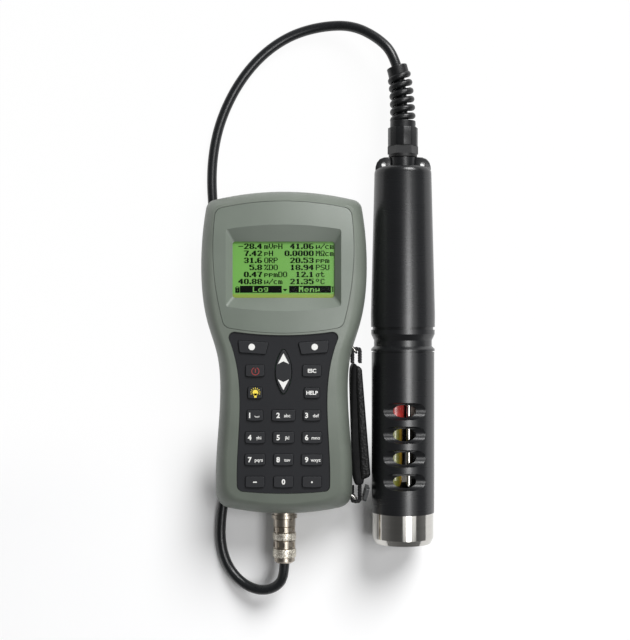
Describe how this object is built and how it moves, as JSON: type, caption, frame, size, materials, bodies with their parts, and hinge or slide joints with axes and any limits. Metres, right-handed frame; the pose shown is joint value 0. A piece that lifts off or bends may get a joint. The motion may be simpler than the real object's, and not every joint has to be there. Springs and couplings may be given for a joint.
{
  "type": "multiparameter water quality meter",
  "caption": "Waisted handheld meter with a recessed display, keypad and side strap, joined by a plug-in cord to a submersible probe with a slotted guard round its sensors.",
  "frame": {"origin": "middle of the flat back of the case, on the outer face of the battery cover", "axes": "+Z out of the back towards the display, +Y towards the head of the case, +X towards the probe laid beside it"},
  "size_m": [0.1633, 0.4093, 0.0504],
  "materials": {
    "case_plastic": "satin",
    "bezel_plastic": "satin",
    "window_acrylic": "polished",
    "display_glass": "satin",
    "keypad_rubber": "matt",
    "key_rubber": "matt",
    "board_laminate": "satin",
    "stainless_steel": "brushed",
    "cell_can": "satin",
    "contact_brass": "satin",
    "nickel_plate": "satin",
    "black_insulator": "satin",
    "strap_webbing": "woven",
    "braided_cord": "braided",
    "slider_paint": "satin",
    "cord_rubber": "satin",
    "gland_nylon": "satin",
    "probe_plastic": "satin",
    "seal_rubber": "matt",
    "amber_plastic": "gloss",
    "pale_plastic": "satin",
    "sensor_plastic": "satin"
  },
  "bodies": {
    "handset": {"case_front": "case_plastic", "case_back": "case_plastic", "case_gasket": "seal_rubber", "display_bezel": "bezel_plastic", "display_window": "window_acrylic", "lcd_module": "display_glass", "keypad_mat": "keypad_rubber", "main_board": "board_laminate", "key_domes": "stainless_steel", "battery_cells": "cell_can", "battery_contacts": "contact_brass", "battery_cover": "case_plastic", "battery_cover_gasket": "seal_rubber", "battery_cover_screws": "stainless_steel", "case_screws": "stainless_steel", "probe_socket": "nickel_plate", "socket_nut": "nickel_plate", "socket_contacts": "black_insulator", "strap_anchors": "stainless_steel", "hand_strap": "strap_webbing", "strap_cord_upper": "braided_cord", "strap_cord_lower": "braided_cord", "strap_slider": "slider_paint"},
    "key_soft_left": {"key_soft_left": "key_rubber"},
    "key_soft_right": {"key_soft_right": "key_rubber"},
    "key_power": {"key_power": "key_rubber"},
    "key_escape": {"key_escape": "key_rubber"},
    "key_lamp": {"key_lamp": "key_rubber"},
    "key_help": {"key_help": "key_rubber"},
    "key_0": {"key_0": "key_rubber"},
    "key_1": {"key_1": "key_rubber"},
    "key_2": {"key_2": "key_rubber"},
    "key_3": {"key_3": "key_rubber"},
    "key_4": {"key_4": "key_rubber"},
    "key_5": {"key_5": "key_rubber"},
    "key_6": {"key_6": "key_rubber"},
    "key_7": {"key_7": "key_rubber"},
    "key_8": {"key_8": "key_rubber"},
    "key_9": {"key_9": "key_rubber"},
    "key_minus": {"key_minus": "key_rubber"},
    "key_point": {"key_point": "key_rubber"},
    "key_arrows": {"key_arrows": "key_rubber"},
    "cable": {"plug_shell": "nickel_plate", "plug_insert": "black_insulator", "plug_back_nut": "nickel_plate", "probe_cord": "cord_rubber"},
    "coupling_ring": {"coupling_ring": "nickel_plate"},
    "probe": {"gland_spiral_nut": "gland_nylon", "gland_body": "gland_nylon", "gland_gasket": "seal_rubber", "probe_head": "probe_plastic", "probe_body": "probe_plastic", "sensor_block": "probe_plastic", "guard_seal": "seal_rubber", "ph_sensor": "amber_plastic", "do_sensor": "pale_plastic", "ec_sensor": "sensor_plastic", "temperature_rod": "stainless_steel"},
    "guard": {"guard": "probe_plastic", "guard_weight": "stainless_steel"}
  },
  "joints": [
    {"name": "key_soft_left_press", "type": "slide", "parent": "handset", "child": "key_soft_left", "axis": [0, 0, -1], "range_m": [0, 0.001], "stiffness_N_per_m": 1500},
    {"name": "key_soft_right_press", "type": "slide", "parent": "handset", "child": "key_soft_right", "axis": [0, 0, -1], "range_m": [0, 0.001], "stiffness_N_per_m": 1500},
    {"name": "key_power_press", "type": "slide", "parent": "handset", "child": "key_power", "axis": [0, 0, -1], "range_m": [0, 0.001], "stiffness_N_per_m": 1500},
    {"name": "key_escape_press", "type": "slide", "parent": "handset", "child": "key_escape", "axis": [0, 0, -1], "range_m": [0, 0.001], "stiffness_N_per_m": 1500},
    {"name": "key_lamp_press", "type": "slide", "parent": "handset", "child": "key_lamp", "axis": [0, 0, -1], "range_m": [0, 0.001], "stiffness_N_per_m": 1500},
    {"name": "key_help_press", "type": "slide", "parent": "handset", "child": "key_help", "axis": [0, 0, -1], "range_m": [0, 0.001], "stiffness_N_per_m": 1500},
    {"name": "key_0_press", "type": "slide", "parent": "handset", "child": "key_0", "axis": [0, 0, -1], "range_m": [0, 0.001], "stiffness_N_per_m": 1500},
    {"name": "key_1_press", "type": "slide", "parent": "handset", "child": "key_1", "axis": [0, 0, -1], "range_m": [0, 0.001], "stiffness_N_per_m": 1500},
    {"name": "key_2_press", "type": "slide", "parent": "handset", "child": "key_2", "axis": [0, 0, -1], "range_m": [0, 0.001], "stiffness_N_per_m": 1500},
    {"name": "key_3_press", "type": "slide", "parent": "handset", "child": "key_3", "axis": [0, 0, -1], "range_m": [0, 0.001], "stiffness_N_per_m": 1500},
    {"name": "key_4_press", "type": "slide", "parent": "handset", "child": "key_4", "axis": [0, 0, -1], "range_m": [0, 0.001], "stiffness_N_per_m": 1500},
    {"name": "key_5_press", "type": "slide", "parent": "handset", "child": "key_5", "axis": [0, 0, -1], "range_m": [0, 0.001], "stiffness_N_per_m": 1500},
    {"name": "key_6_press", "type": "slide", "parent": "handset", "child": "key_6", "axis": [0, 0, -1], "range_m": [0, 0.001], "stiffness_N_per_m": 1500},
    {"name": "key_7_press", "type": "slide", "parent": "handset", "child": "key_7", "axis": [0, 0, -1], "range_m": [0, 0.001], "stiffness_N_per_m": 1500},
    {"name": "key_8_press", "type": "slide", "parent": "handset", "child": "key_8", "axis": [0, 0, -1], "range_m": [0, 0.001], "stiffness_N_per_m": 1500},
    {"name": "key_9_press", "type": "slide", "parent": "handset", "child": "key_9", "axis": [0, 0, -1], "range_m": [0, 0.001], "stiffness_N_per_m": 1500},
    {"name": "key_minus_press", "type": "slide", "parent": "handset", "child": "key_minus", "axis": [0, 0, -1], "range_m": [0, 0.001], "stiffness_N_per_m": 1500},
    {"name": "key_point_press", "type": "slide", "parent": "handset", "child": "key_point", "axis": [0, 0, -1], "range_m": [0, 0.001], "stiffness_N_per_m": 1500},
    {"name": "key_arrows_rock", "type": "hinge", "parent": "handset", "child": "key_arrows", "pos_m": [0, -0.0127, 0.0461], "axis": [1, 0, 0], "range_deg": [-4, 4], "stiffness_Nm_per_rad": 0.2},
    {"name": "plug_pull", "type": "slide", "parent": "handset", "child": "cable", "axis": [0, -1, 0], "range_m": [0, 0.012]},
    {"name": "coupling_ring_turn", "type": "hinge", "parent": "cable", "child": "coupling_ring", "pos_m": [0, -0.124, 0.022], "axis": [0, 1, 0], "continuous": true},
    {"name": "probe_lift", "type": "slide", "parent": "cable", "child": "probe", "axis": [0, 0, 1], "range_m": [0, 0.15], "deforming": ["probe_cord"]},
    {"name": "guard_remove", "type": "slide", "parent": "probe", "child": "guard", "axis": [0, -1, 0], "range_m": [0, 0.11]}
  ]
}
